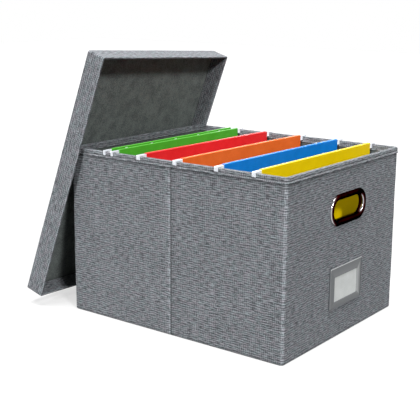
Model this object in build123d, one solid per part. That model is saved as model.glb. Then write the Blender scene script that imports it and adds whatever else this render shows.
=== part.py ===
from build123d import *
import math
import os

# A folding file box covered in linen, with its lift-off lid leaning on the rear end and
# five hanging folders riding on the rims of the long walls.  Millimetres, +Z up, +X to
# the front end with the label, origin under the middle of the box on the floor.

# ---- the box ------------------------------------------------------------------------
LENGTH = 391.0          # over the linen, front to rear
WIDTH = 321.0           # over the linen, wall to wall
HEIGHT = 260.0          # floor to the top of the rim binding
CORNER_R = 5.5          # upright corners, outside
FOOT_R = 2.0            # rolled lower edge of the base
COVER_T = 0.9           # backed linen
BOARD_T = 2.5           # grey board in the walls and base
LINING_T = 0.6          # non-woven cloth inside
BINDING_T = 0.7         # linen strip folded over the rim
BAND_H = 9.5            # depth of that strip, inside and outside
RIM_ROLL = 1.4          # its rounded top edges
FOLD_GAP = 6.0          # between the two boards of a long wall, where the box folds
CREASE_W = 3.6          # pressed groove over that gap
CREASE_DEEP = 0.55
MITRE_GAP = 0.4         # between boards that meet at a corner
INSERT_T = 2.5          # loose stiff floor that holds the box open
INSERT_GAP = 1.0

# ---- hand grips through the front and rear ends ---------------------------------------
GRIP_L = 86.0           # opening, long way
GRIP_H = 29.0           # opening, high way
GRIP_Z = 192.0
FITTING_Y = 6.0         # the grips and the label sit a little past the middle
GRIP_TUBE_T = 1.2       # wall of the tube that lines the hole
GRIP_FLANGE = 8.7       # breadth of the rim outside
GRIP_FLANGE_T = 2.8
GRIP_EDGE_R = 2.0       # rounding of the rim, outside and into the opening
GRIP_FIT = 0.3          # hole in the wall round the tube
RING_FIT = 0.15         # locking ring on the tube
RING_LESS = 2.2         # the ring inside is this much smaller all round
RING_T = 1.6
TUBE_PAST = 0.5         # the tube's end stands this far out of the ring

# ---- label holder on the front ---------------------------------------------------------
LABEL_W = 93.0
LABEL_H = 62.0
LABEL_T = 1.9
LABEL_FOOT_Z = 46.0
LABEL_CORNER_R = 2.5
POCKET_DEEP = 0.9
WINDOW_W = 66.0
WINDOW_H = 37.0
WINDOW_FOOT = 10.0      # window's lower edge over the holder's
CARD_W = 74.0
CARD_H = 46.0
CARD_T = 0.4
CARD_UNDER = 4.5        # card hidden below the window
CARD_FIT = 0.6          # each side in the pocket
CARD_SEAT = 0.3
CARD_CORNER_R = 1.5
WINDOW_CORNER_R = 1.0

# ---- lid, in its own axes: rim plane at x = 0, panel at x = -depth, long side along z -----
LID_LENGTH = 402.0
LID_WIDTH = 339.0
LID_DEPTH = 32.0
LID_CORNER_R = 3.0
LID_INNER_R = 0.4       # least corner inside it
LID_COVER_T = 0.7
LID_BOARD_T = 2.2
LID_LINING_T = 0.5
LID_EDGE_R = 1.6        # rolled edge between panel and sides
LID_RIM_R = 0.6
LID_LEAN = 17.9         # top towards the box, degrees
LID_TWIST = 2.9         # about the upright
LID_ROLL = -2.97        # in its own plane: it stands on its far corner
LID_SEAT = 0.3          # panel to the box's rear rim
LID_SIDE_SEAT = 0.5     # far side of the lid to the far wall

# ---- hanging folders -------------------------------------------------------------------
SHEET_W = 296.0
SHEET_H = 235.0
SHEET_T = 0.5
SHEET_OVER = 3.4        # fold of the sheet over the rim binding
HEM_H = 12.0            # sheet turned in round the rod
FOLD_R = 2.0            # bottom fold
ROD_T = 1.0
ROD_FIT = 0.1           # rod in the hem
ROD_H = 8.0
ROD_OVER = 0.3          # notch over the rim binding
NOTCH_IN = 0.8          # notch, clear of the wall inside
NOTCH_OUT = 0.6         # and outside
HOOK_W = 3.1            # hooked tip outside the wall
HOOK_DROP = 5.0         # tip below the rim
HOOK_R = 1.2
TIP_T = 2.0             # moulded tip over each end of the rod
TIP_REACH = 4.0         # the tip starts this far in from the notch
SLOT_W = 6.0            # slots for index tabs in the rear hem
SLOT_H = 1.5
SLOT_DOWN = 1.2         # below the sheet's top edge
SLOT_PITCH = 58.0
SLOT_COUNT = 5
HEM_SLOT = 2.4          # how deep they're cut, through the hem and no further
SHUT = 2.7              # rod to rod in a shut folder
OPEN = 15.0             # and in the one that stands open
# name, middle as a share of the box's length, rod to rod, skew in degrees
FOLDERS = [
    ("green", -0.2887, OPEN, 1.0),
    ("red", -0.1268, SHUT, 2.4),
    ("orange", 0.0441, SHUT, 2.2),
    ("blue", 0.2253, SHUT, 1.6),
    ("yellow", 0.3791, SHUT, 0.9),
]

# ---- worked out from those ---------------------------------------------------------------
WALL_T = COVER_T + BOARD_T + LINING_T
BASE_H = COVER_T + BOARD_T
RIM_Z = HEIGHT - BINDING_T
FRONT_X = LENGTH / 2
LID_T = LID_COVER_T + LID_BOARD_T + LID_LINING_T
LID_PANEL_X = -LID_DEPTH + LID_COVER_T + LID_BOARD_T


# ---- outlines ------------------------------------------------------------------------------
def outline(inset):
    """The box's plan, drawn in from the outside of the linen."""
    return RectangleRounded(LENGTH - 2 * inset, WIDTH - 2 * inset, CORNER_R - inset)


def upright(sketch, low, high):
    """A plan carried up from one height to another."""
    return extrude(Pos(0, 0, low) * sketch, high - low)


def side_plan(half_out, half_along, deep):
    """One side between its two mitres: the +X side of a rectangle, half a gap clear."""
    points = [
        (half_out, half_along),
        (half_out, -half_along),
        (half_out - deep, -(half_along - deep)),
        (half_out - deep, half_along - deep),
    ]
    return Pos(MITRE_GAP * math.sqrt(0.5), 0) * make_face(Polyline(points, close=True))


def four_sides(half_long, half_wide, deep):
    """Plans of the four sides, counted +X, +Y, -X, -Y."""
    ends = side_plan(half_long, half_wide, deep)
    walls = side_plan(half_wide, half_long, deep)
    return [ends, Rot(Z=90) * walls, Rot(Z=180) * ends, Rot(Z=-90) * walls]


def grip_slot(grow, low_x, high_x):
    """A bar along X with the grip's outline, drawn out from the opening."""
    slot = SlotOverall(GRIP_L + 2 * grow, GRIP_H + 2 * grow)
    return extrude(Plane.YZ.offset(low_x) * Pos(FITTING_Y, GRIP_Z) * slot, high_x - low_x)


def creases():
    """A pressed V groove down the fold line of each long wall."""
    tip = WIDTH / 2 - CREASE_DEEP
    mouth = WIDTH / 2 + CREASE_DEEP
    groove = make_face(Polyline((0, tip), (CREASE_W, mouth), (-CREASE_W, mouth), close=True))
    return upright(groove + mirror(groove, about=Plane.XZ), BASE_H, RIM_Z)


# ---- base ----------------------------------------------------------------------------------
def base_cover():
    """Linen dish round the base board, with its lower edge rolled."""
    block = upright(outline(0), 0, BASE_H)
    block = fillet(block.edges().group_by(Axis.Z)[0], FOOT_R)
    return block - upright(outline(COVER_T), COVER_T, BASE_H)


def base_board():
    return upright(outline(COVER_T), COVER_T, BASE_H)


def base_insert():
    """Loose floor, laid on the lining; it keeps the folding walls square."""
    low = BASE_H + LINING_T
    return upright(outline(WALL_T + INSERT_GAP), low, low + INSERT_T)


# ---- walls ---------------------------------------------------------------------------------
def side_cover():
    """Linen round all four walls, creased where the long walls fold."""
    skin = upright(outline(0) - outline(COVER_T), BASE_H, RIM_Z)
    hole = grip_slot(GRIP_TUBE_T + GRIP_FIT, -LENGTH, LENGTH)
    return skin - hole - creases()


def lining():
    """Cloth inside the walls and over the base board."""
    bag = upright(outline(COVER_T + BOARD_T), BASE_H, RIM_Z)
    bag -= upright(outline(WALL_T), BASE_H + LINING_T, RIM_Z)
    return bag - grip_slot(GRIP_TUBE_T + GRIP_FIT, -LENGTH, LENGTH)


def wall_boards():
    """Six boards: one in each end, two in each long wall with the fold between them."""
    band = outline(COVER_T) - outline(COVER_T + BOARD_T)
    plans = four_sides(LENGTH / 2, WIDTH / 2, 2 * CORNER_R)
    hole = grip_slot(GRIP_TUBE_T + GRIP_FIT, -LENGTH, LENGTH)
    boards = {}
    for side, plan in zip(("front", "far", "rear", "near"), plans):
        if side in ("front", "rear"):
            boards[side + "_board"] = upright(band & plan, BASE_H, RIM_Z) - hole
            continue
        for half, sign in (("front", 1), ("rear", -1)):
            reach = LENGTH - FOLD_GAP
            keep = Pos(sign * (reach + FOLD_GAP) / 2, 0) * Rectangle(reach, 2 * WIDTH)
            boards[f"{side}_{half}_board"] = upright(band & plan & keep, BASE_H, RIM_Z)
    return boards


def rim_binding():
    """Linen strip folded over the rim and stitched through the wall."""
    outside = -BINDING_T
    inside = WALL_T + BINDING_T
    strip = upright(outline(outside) - outline(inside), HEIGHT - BAND_H, HEIGHT)
    strip = fillet(strip.edges().group_by(Axis.Z)[-1], RIM_ROLL)
    return strip - upright(outline(0) - outline(WALL_T), HEIGHT - BAND_H, RIM_Z)


# ---- grips ---------------------------------------------------------------------------------
def grip_grommet():
    """Pressed metal rim outside the front, and the tube that lines the hole."""
    top_x = FRONT_X + GRIP_FLANGE_T
    tube_x = FRONT_X - WALL_T - RING_T - TUBE_PAST
    rim = grip_slot(GRIP_FLANGE, FRONT_X, top_x) - grip_slot(0, FRONT_X, top_x)
    rim = fillet(rim.edges().group_by(Axis.X)[-1], GRIP_EDGE_R)
    return rim + (grip_slot(GRIP_TUBE_T, tube_x, FRONT_X) - grip_slot(0, tube_x, FRONT_X))


def grip_ring():
    """Locking ring pressed on the tube's end inside the box."""
    low_x = FRONT_X - WALL_T - RING_T
    ring = grip_slot(GRIP_FLANGE - RING_LESS, low_x, low_x + RING_T)
    ring = fillet(ring.edges().group_by(Axis.X)[0], RING_T / 2)
    return ring - grip_slot(GRIP_TUBE_T + RING_FIT, low_x, low_x + RING_T)


# ---- label holder ----------------------------------------------------------------------------
def front_plate(wide, high, foot_z, low_x, thick, radius):
    """An upright plate on the front, centred on the fittings' line."""
    face = RectangleRounded(wide, high, radius) if radius else Rectangle(wide, high)
    return extrude(Plane.YZ.offset(low_x) * Pos(FITTING_Y, foot_z + high / 2) * face, thick)


def card_foot_z():
    return LABEL_FOOT_Z + WINDOW_FOOT - CARD_UNDER


def label_holder():
    """Frame with a window, glued at its sides and foot, open at the top for the card."""
    frame = front_plate(LABEL_W, LABEL_H, LABEL_FOOT_Z, FRONT_X, LABEL_T, LABEL_CORNER_R)
    frame = fillet(frame.edges().group_by(Axis.X)[-1], LABEL_T / 3)
    pocket_z = card_foot_z() - CARD_SEAT
    pocket_h = LABEL_FOOT_Z + LABEL_H - pocket_z
    frame -= front_plate(CARD_W + 2 * CARD_FIT, pocket_h, pocket_z, FRONT_X, POCKET_DEEP, 0)
    window_z = LABEL_FOOT_Z + WINDOW_FOOT
    return frame - front_plate(WINDOW_W, WINDOW_H, window_z, FRONT_X, LABEL_T, WINDOW_CORNER_R)


def label_card():
    low_x = FRONT_X + (POCKET_DEEP - CARD_T) / 2
    return front_plate(CARD_W, CARD_H, card_foot_z(), low_x, CARD_T, CARD_CORNER_R)


# ---- lid, in its own axes --------------------------------------------------------------------
def lid_plan(inset):
    """The lid's outline, long side along X, drawn in from the outside of its linen."""
    radius = max(LID_CORNER_R - inset, LID_INNER_R)
    return RectangleRounded(LID_LENGTH - 2 * inset, LID_WIDTH - 2 * inset, radius)


def lid_slab(sketch, low, high):
    """A plan stood on its end, its thickness running from the panel to the rim."""
    stand = Plane(origin=(low, 0, LID_LENGTH / 2), x_dir=(0, 0, 1), z_dir=(1, 0, 0))
    return extrude(stand * sketch, high - low)


def lid_cover():
    """Linen over the panel, turned a little way down the sides."""
    block = lid_slab(lid_plan(0), -LID_DEPTH, LID_PANEL_X)
    block = fillet(block.edges().group_by(Axis.X)[0], LID_EDGE_R)
    return block - lid_slab(lid_plan(LID_COVER_T), -LID_DEPTH + LID_COVER_T, LID_PANEL_X)


def lid_panel_board():
    return lid_slab(lid_plan(LID_COVER_T), -LID_DEPTH + LID_COVER_T, LID_PANEL_X)


def lid_lining():
    return lid_slab(lid_plan(LID_T), LID_PANEL_X, LID_PANEL_X + LID_LINING_T)


def lid_sides():
    """Four boards round the panel, each with its own strip of linen turned over the rim."""
    wall = lid_slab(lid_plan(0) - lid_plan(LID_T), LID_PANEL_X, 0)
    wall = fillet(wall.edges().group_by(Axis.X)[-1], LID_RIM_R)
    core = lid_plan(LID_COVER_T) - lid_plan(LID_COVER_T + LID_BOARD_T)
    core = lid_slab(core, LID_PANEL_X, -LID_COVER_T)
    plans = four_sides(LID_LENGTH / 2, LID_WIDTH / 2, 2 * LID_CORNER_R)
    pieces = {}
    for side, plan in zip(("top", "near", "foot", "far"), plans):
        sector = lid_slab(plan, LID_PANEL_X, 0)
        pieces[f"lid_{side}_board"] = core & sector
        pieces[f"lid_{side}_wrap"] = (wall & sector) - core
    return pieces


def lid_place():
    """Where the lid stands: on the floor, on the box's rear rim and on its far wall.

    Each touch is one equation for the middle of the lid's rim at its foot.  A point p
    of the box lies at (p - foot) . axis along each of the lid's own axes.
    """
    turn = Rot(Z=LID_TWIST) * Rot(Y=LID_LEAN) * Rot(X=LID_ROLL)
    ex, ey, ez = ((turn * Pos(*axis)).position for axis in ((1, 0, 0), (0, 1, 0), (0, 0, 1)))
    # floor: the rounded far corner of the rim
    corner = (LID_WIDTH / 2 - LID_CORNER_R) * ey.Z + LID_CORNER_R * ez.Z
    foot_z = LID_CORNER_R * math.hypot(ey.Z, ez.Z) - corner
    # rear rim: the middle of its rounding, at the near end of the straight stretch
    roll_x = -(FRONT_X + BINDING_T - RIM_ROLL)
    roll = Vector(roll_x, -(WIDTH / 2 - CORNER_R), HEIGHT - RIM_ROLL)
    along_x = roll.dot(ex) - RIM_ROLL + LID_DEPTH - LID_T - LID_SEAT
    # far wall: where the lid's rim passes the end of the wall's straight stretch
    wall_x = -(FRONT_X - CORNER_R)
    wall_y = WIDTH / 2
    wall_z = (along_x - wall_x * ex.X - wall_y * ex.Y) / ex.Z
    inner = LID_WIDTH / 2 - LID_T - LID_SIDE_SEAT
    along_y = Vector(wall_x, wall_y, wall_z).dot(ey) - inner
    # two equations in the plan, solved for x and y
    right_x = along_x - ex.Z * foot_z
    right_y = along_y - ey.Z * foot_z
    det = ex.X * ey.Y - ex.Y * ey.X
    foot_x = (right_x * ey.Y - ex.Y * right_y) / det
    foot_y = (ex.X * right_y - right_x * ey.X) / det
    return Pos(foot_x, foot_y, foot_z) * turn


# ---- folders, about their own middle -----------------------------------------------------------
def hem_height():
    """Middle of the turn that the sheet makes over its rod."""
    return HEIGHT + SHEET_OVER - SHEET_T - ROD_FIT - ROD_T / 2


def folder_sheet(spread):
    """One sheet from hem to hem, with a round fold at the foot and slots in the rear hem."""
    off = ROD_T / 2 + ROD_FIT + SHEET_T / 2
    top = hem_height()
    hem = HEIGHT + SHEET_OVER - HEM_H
    foot = HEIGHT + SHEET_OVER - SHEET_H + SHEET_T / 2 + FOLD_R
    inner = spread / 2 - off
    outer = spread / 2 + off
    half = [
        Line((inner, hem), (inner, top)),
        ThreePointArc((inner, top), (spread / 2, top + off), (outer, top)),
        Line((outer, top), (outer, hem)),
        Line((outer, hem), (FOLD_R, foot)),
    ]
    fold = ThreePointArc((FOLD_R, foot), (0, foot - FOLD_R), (-FOLD_R, foot))
    path = half + [fold] + [mirror(edge, about=Plane.YZ) for edge in half]
    section = Plane.XZ * trace(path, SHEET_T)
    sheet = extrude(section, SHEET_W / 2, dir=(0, 1, 0), both=True)
    slot_z = HEIGHT + SHEET_OVER - SLOT_DOWN - SLOT_H
    for index in range(SLOT_COUNT):
        y = (index - (SLOT_COUNT - 1) / 2) * SLOT_PITCH
        slot = Box(HEM_SLOT, SLOT_W, SLOT_H)
        sheet -= Pos(-spread / 2, y, slot_z) * slot
    return sheet


def folder_rod(x):
    """Flat rod whose moulded tips are notched to drop over the rims of the long walls."""
    notch_in = WIDTH / 2 - WALL_T - BINDING_T - NOTCH_IN
    notch_out = WIDTH / 2 + BINDING_T + NOTCH_OUT
    tip = notch_out + HOOK_W
    top = hem_height() + ROD_FIT / 2
    ceiling = HEIGHT + ROD_OVER
    half = [
        (0, top), (tip, top), (tip, HEIGHT - HOOK_DROP), (notch_out, HEIGHT - HOOK_DROP),
        (notch_out, ceiling), (notch_in, ceiling), (notch_in, top - ROD_H), (0, top - ROD_H),
    ]
    bar = make_face(Polyline(half, close=True))
    bar = bar + mirror(bar, about=Plane.YZ)
    tips = [point for point in bar.vertices() if abs(point.X) > notch_out + HOOK_W / 2]
    bar = fillet(tips, HOOK_R)
    inner = 2 * (notch_in - TIP_REACH)
    ends = bar - Pos(0, HEIGHT) * Rectangle(inner, 2 * ROD_H)
    return flat_bar(bar, x, ROD_T) + flat_bar(ends, x, TIP_T)


def flat_bar(face, x, thick):
    """A face in the rod's plane, with its thickness shared to both sides of x."""
    return extrude(Plane.YZ.offset(x - thick / 2) * face, thick)


def folders():
    pieces = {}
    for name, share, spread, skew in FOLDERS:
        place = Pos(share * LENGTH, 0, 0) * Rot(Z=-skew)
        pieces[f"{name}_folder_sheet"] = place * folder_sheet(spread)
        pieces[f"{name}_folder_front_rod"] = place * folder_rod(spread / 2)
        pieces[f"{name}_folder_rear_rod"] = place * folder_rod(-spread / 2)
    return pieces


# ---- everything ----------------------------------------------------------------------------------
def all_pieces():
    pieces = {
        "base_cover": base_cover(),
        "base_board": base_board(),
        "base_insert": base_insert(),
        "side_cover": side_cover(),
        "lining": lining(),
        "rim_binding": rim_binding(),
    }
    pieces.update(wall_boards())
    for end in ("front", "rear"):
        for name, piece in (("grommet", grip_grommet()), ("grommet_ring", grip_ring())):
            pieces[f"{end}_{name}"] = piece if end == "front" else mirror(piece, about=Plane.YZ)
    pieces["label_holder"] = label_holder()
    pieces["label_card"] = label_card()
    place = lid_place()
    lid = {"lid_cover": lid_cover(), "lid_panel_board": lid_panel_board()}
    lid["lid_lining"] = lid_lining()
    lid.update(lid_sides())
    pieces.update({name: place * piece for name, piece in lid.items()})
    pieces.update(folders())
    return pieces


def main():
    os.makedirs("parts", exist_ok=True)
    for name, piece in all_pieces().items():
        export_step(piece, f"parts/{name}.step")
        print(name, len(piece.solids()), "solid", round(piece.volume), "mm3")


main()
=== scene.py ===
# %% [markdown]
# # Linen file box with hanging folders
#
# The real thing is a carton of grey board.  Grey heathered linen is glued over its outside
# and a soft dark cloth inside.  A strip of the linen is folded over the rim and sewn, and
# five coloured folders hang on that rim by the hooks of their rods.  The lid is a shallow
# tray of the same make, taken off and leaning on the box's rear end.
#
# The stiff pieces come in as solids and stay as they are.  This lesson makes what solids
# leave out: cloth with its weave and slack, the sewn rim, the plated grips and the moulded
# label holder.  Each is a formula worked out with numpy, so that every size is a real one
# and every run gives the same mesh.  Materials, light and the camera come after them.

# %% Load the solids
import math

import bmesh
import bpy
import numpy as np
from mathutils import Matrix, Vector


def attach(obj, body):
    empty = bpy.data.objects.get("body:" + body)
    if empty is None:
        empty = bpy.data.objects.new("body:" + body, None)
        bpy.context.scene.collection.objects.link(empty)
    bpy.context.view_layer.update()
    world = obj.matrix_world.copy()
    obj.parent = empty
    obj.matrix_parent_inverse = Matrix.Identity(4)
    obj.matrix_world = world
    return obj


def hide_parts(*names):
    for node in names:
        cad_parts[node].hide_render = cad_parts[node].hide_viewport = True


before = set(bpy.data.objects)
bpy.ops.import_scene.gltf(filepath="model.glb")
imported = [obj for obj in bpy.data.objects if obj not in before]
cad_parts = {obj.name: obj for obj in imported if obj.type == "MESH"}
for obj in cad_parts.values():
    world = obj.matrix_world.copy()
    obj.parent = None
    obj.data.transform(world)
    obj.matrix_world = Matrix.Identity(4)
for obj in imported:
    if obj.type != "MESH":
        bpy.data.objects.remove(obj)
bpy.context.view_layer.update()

# %% [markdown]
# ## An outline with rounded corners
#
# Seen from above, the walls, the rim and the lining are rounded rectangles, one inside the
# other, and so are the grips and the label holder seen from the front.  Each could be a
# curve or a bevelled box.  Here one table of samples serves them all: every outline then
# has the same number of points at the same places, so quads join any two of them.

# %% Sizes of the box, in millimetres
LENGTH, WIDTH, HEIGHT = 391.0, 321.0, 260.0     # over the cloth, along X, Y and Z
CORNER_R = 5.5                                  # its upright corners
print("box", LENGTH, "x", WIDTH, "x", HEIGHT, "mm")


# %% A table of samples round a rounded rectangle
def loop_table(along_x, along_y, corner):
    """Samples round a rounded rectangle, as rows (sx, sy, nx, ny).

    A sample lies at (sx (a - r) + nx r, sy (b - r) + ny r) for half sides a, b and
    radius r, so one table serves every inset and radius.  (nx, ny) points outwards.
    along_x and along_y are places on the straight sides, from -1 to 1, and corner is the
    number of samples inside each quarter circle.  The first sample, at the far rear
    corner, is repeated as the last.
    """
    rows = []
    for side in (2, 3, 0, 1):
        nx, ny = ((1, 0), (0, 1), (-1, 0), (0, -1))[side]
        run = along_y if nx else along_x
        sign = 1 if side in (0, 3) else -1
        one = np.ones_like(run)
        run_xy = (one * nx, run * sign) if nx else (run * sign, one * ny)
        rows.append(np.stack([*run_xy, one * nx, one * ny], 1))
        t = (side + np.linspace(0, 1, corner + 2)[1:-1]) * math.pi / 2
        cx, cy = ((1, 1), (-1, 1), (-1, -1), (1, -1))[side]
        rows.append(np.stack([cx + 0 * t, cy + 0 * t, np.cos(t), np.sin(t)], 1))
    table = np.concatenate(rows)
    return np.concatenate([table, table[:1]])


def loop_points(table, half_long, half_wide, radius):
    """Places (n, m, 2) of the table's n samples on m outlines, s (half - r) + n r."""
    half = np.stack([half_long - radius, half_wide - radius], -1)
    return table[:, None, :2] * half + table[:, None, 2:] * np.asarray(radius)[..., None]


RUN = LENGTH / 2 - CORNER_R                     # half of a long wall's straight part
fold_samples = np.linspace(-4, 4, 25) / RUN     # closer together, 4 mm each side of the fold
along_x = np.unique(np.concatenate([np.linspace(-1, 1, 141), fold_samples]))
wall_table = loop_table(along_x, np.linspace(-1, 1, 115), 9)
print("round the walls:", len(wall_table), "samples")

# %% [markdown]
# ## Slack in glued cloth
#
# Cloth that is glued to board by hand is never quite flat: it stands off by a few tenths of
# a millimetre in broad, shallow waves.  A Noise texture with Displace could do that.  A sum
# of a few plane waves is used instead, because its height and its longest wave are then
# plain numbers, and a seed keeps it the same on each run.

# %% Waves, bells and lengths
def ripple(a, b, seed, longest, size):
    """Sum of 9 plane waves, sin(2 pi (a u + b v) + phase), whose heights add up to size."""
    rng = np.random.default_rng(seed)
    turn, phase = rng.uniform(0, 2 * math.pi, (2, 9))
    wave = longest * rng.uniform(0.25, 1.0, 9)
    swing = (a[..., None] * np.cos(turn) + b[..., None] * np.sin(turn)) / wave
    return size / 9 * np.sin(2 * math.pi * swing + phase).sum(-1)


def bell(distance, width):
    """exp(-(distance / width)^2): 1 at a distance of 0, falling to 1/e at the width."""
    return np.exp(-((distance / width) ** 2))


def arc_length(points):
    """Distance along a line of points, from its first: the running sum of its steps."""
    return np.concatenate([[0], np.cumsum(np.linalg.norm(np.diff(points, axis=0), axis=1))])


wall_line = loop_points(
    wall_table, np.array([LENGTH / 2]), np.array([WIDTH / 2]), np.array([CORNER_R])
)[:, 0]
print("round the walls:", round(arc_length(wall_line)[-1], 1), "mm")

# %% [markdown]
# ## From points to a piece
#
# A piece is a grid of points joined by quads.  Blender works in metres, so only the function
# below turns millimetres into them.  Two things go into the mesh with the points.  The
# weave is where each point lies on the flat cloth, so that the pattern runs round corners
# as real cloth does.  The other is painted light and shade, with some wear: it makes a
# point lighter at painted highlights, glints and rubbed corners, and darker where shade is
# painted in creases and under edges.
# Both could be painted by hand; as numbers they follow the same formulas as the shape.

# %% Quads of a grid
def grid_faces(n, m, wrap_m=False):
    """Quads (i, j), (i+1, j), (i+1, j+1), (i, j+1) of an n by m grid, closed along m if asked."""
    i, j = np.meshgrid(np.arange(n - 1), np.arange(m if wrap_m else m - 1), indexing="ij")
    k = (j + 1) % m
    return np.stack([i * m + j, (i + 1) * m + j, (i + 1) * m + k, i * m + k], -1).reshape(-1, 4)


print("a strip of 3 by 2 points has", len(grid_faces(3, 2)), "quads")

# %% A piece from points, quads, weave and tone
MM = 0.001                       # a millimetre in metres
WELD = 1e-6                      # points nearer than this, in metres, become one


def new_piece(name, points, faces, body, weave=None, painted_light_and_wear=None):
    """A mesh of points in mm, riding on a body.

    weave holds each point's place on its cloth in mm.  It is kept on the faces' corners, so
    that it can start and end at a seam.  The last argument is painted light and shade, with
    some wear: how much lighter a point is than its colour, such as 0.2 on a painted highlight
    and on a rubbed corner, and how much darker, where it is negative, under painted shade.
    Points that meet at a seam or a pole are welded, so the surface is closed there.
    """
    mesh = bpy.data.meshes.new(name)
    mesh.from_pydata((np.asarray(points).reshape(-1, 3) * MM).tolist(), [], faces.tolist())
    mesh.update()
    if weave is not None:
        flat = np.asarray(weave, np.float32).reshape(-1, 2)
        flat = np.concatenate([flat, np.zeros((len(flat), 1), np.float32)], 1)[faces.ravel()]
        kept = mesh.attributes.new("weave", "FLOAT_VECTOR", "CORNER")
        kept.data.foreach_set("vector", flat.ravel())
    if painted_light_and_wear is not None:
        kept = mesh.attributes.new("painted_light_and_wear", "FLOAT", "POINT")
        kept.data.foreach_set("value", np.asarray(painted_light_and_wear, np.float32).ravel())
    shell = bmesh.new()
    shell.from_mesh(mesh)
    bmesh.ops.remove_doubles(shell, verts=shell.verts, dist=WELD)
    shell.to_mesh(mesh)
    shell.free()
    mesh.polygons.foreach_set("use_smooth", [True] * len(mesh.polygons))
    piece = bpy.data.objects.new(name, mesh)
    bpy.context.scene.collection.objects.link(piece)
    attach(piece, body)
    print(name, "has", len(mesh.polygons), "faces")
    return piece


print("points nearer than", WELD / MM, "mm are welded")

# %% [markdown]
# ## Linen on the walls
#
# One length of linen goes round all four walls.  Its lower edge is rolled under the base,
# its upper edge goes under the binding, and each long wall has an upright groove, pressed
# where the empty box folds flat.  A plane with Solidify and some sculpting would do.  Here
# the surface is a function of the way round and the height, because the grooves, the seam
# and the rubbed corners can then be placed to a tenth of a millimetre.

# %% Rows of points up the wall
ROLL_R = 2.0                     # of the rolled lower edge
BINDING_FOOT = 250.0             # height at which the sewn binding pulls the cloth in
foot_rows = [0.05, 0.25, 0.7, 1.3, 2.1]
seam_rows = np.arange(247.6, 251.6, 0.6)
skin_z = np.unique(np.concatenate([foot_rows, np.linspace(3.4, 259.0, 92), seam_rows]))
roll = np.clip((ROLL_R - skin_z) / ROLL_R, 0, 1)
roll_in = ROLL_R * (1 - np.sqrt(1 - roll**2))   # a quarter circle under the edge
skin_xy = loop_points(
    wall_table, LENGTH / 2 - roll_in, WIDTH / 2 - roll_in, CORNER_R - roll_in * 0.6
)
around, up = np.meshgrid(arc_length(skin_xy[:, 10]), skin_z, indexing="ij")
print("wall grid:", around.shape)

# %% Slack, the pressed folds and the pull of the seam
FAR = 1e3                        # stands for a fold that this wall hasn't got
swell = ripple(around, up, 5, 160.0, 0.5) + ripple(around, up, 6, 34.0, 0.16)
long_wall = np.abs(wall_table[:, 3])[:, None] == 1
from_fold = np.where(long_wall, np.abs(skin_xy[..., 0]), FAR)
swell = swell * np.clip(up / 20, 0, 1)          # none at the foot, where it is glued hard
for height, distance, width in (
    (-0.75, from_fold, 0.9),                    # the pressed groove
    (0.22, from_fold - 3.2, 1.6),               # the board's edge, each side of it
    (-0.7, up - BINDING_FOOT, 0.9),             # the pull of the seam
):
    swell = swell + height * bell(distance, width)
print("the cloth lies between", round(swell.min(), 2), "and", round(swell.max(), 2), "mm")

# %% Where a highlight or shade is painted on it, and the corners are rubbed
to_edge = np.maximum(LENGTH / 2 - np.abs(skin_xy[..., 0]), WIDTH / 2 - np.abs(skin_xy[..., 1]))
to_corner = np.maximum(to_edge - 0.29 * CORNER_R, 0)      # 0.29 r is the corner's own cut
past_fold = np.where(long_wall, skin_xy[..., 0], FAR)
# Painted light and shade on the walls' cloth, with wear at the corners
wall_painted_light_and_wear = 0.0
for strength, distance, width in (
    (0.34, to_corner, 2.0),                     # painted highlight on the corner, which is also rubbed
    (0.30, past_fold + 1.0, 1.5),               # the fold's edge that faces the light
    (0.14, past_fold + 5.0, 5.0),               # painted highlight on the cloth that rises to it
    (-0.12, past_fold - 5.0, 5.0),              # painted shade where it falls away behind it
    (-0.45, past_fold - 2.2, 1.3),              # the groove in shade
    (-0.30, up, 4.0),                           # shade at the foot
    (-0.45, up - BINDING_FOOT + 0.1, 1.1),      # shade under the binding
):
    wall_painted_light_and_wear = wall_painted_light_and_wear + strength * bell(distance, width)
print("tone between", round(wall_painted_light_and_wear.min(), 2), "and", round(wall_painted_light_and_wear.max(), 2))

# %% Cut out round the grips
GRIP_L, GRIP_H = 86.0, 29.0      # the opening, long and high
GRIP_Z, FITTING_Y = 192.0, 6.0   # its middle; grips and label sit a little past the middle
CUT_PAST = 4.5                   # the cut runs this far outside it, under the flange


def off_grips(points, faces, end_x):
    """The faces that are left when the grips are cut through an end at end_x.

    The opening is a stadium: a point lies hypot(max(|y| - reach, 0), z) - high / 2 outside
    it, with reach half the difference of its two sizes.
    """
    middle = points.reshape(-1, 3)[faces].mean(1)
    reach = (GRIP_L - GRIP_H) / 2
    along = np.maximum(np.abs(middle[:, 1] - FITTING_Y) - reach, 0)
    outside = np.hypot(along, middle[:, 2] - GRIP_Z) - GRIP_H / 2
    return faces[(outside >= CUT_PAST) | (np.abs(middle[:, 0]) <= end_x - 3)]


skin_xy = skin_xy + wall_table[:, None, 2:] * swell[..., None]
points = np.concatenate([skin_xy, up[..., None]], -1)
faces = off_grips(points, grid_faces(*up.shape), LENGTH / 2)
side_linen = new_piece(
    "side_linen", points, faces, "box", np.stack([around, up], -1), wall_painted_light_and_wear
)
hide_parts("side_cover")

# %% [markdown]
# ## Linen under the base
#
# The base is wrapped in its own piece of linen, glued flat, with its edge turned up under
# the walls' cloth.  It is a set of outlines, one inside the other, that shrink to a line in
# the middle.  A plain grid would do as well, but this one meets the walls' samples exactly.

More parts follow.
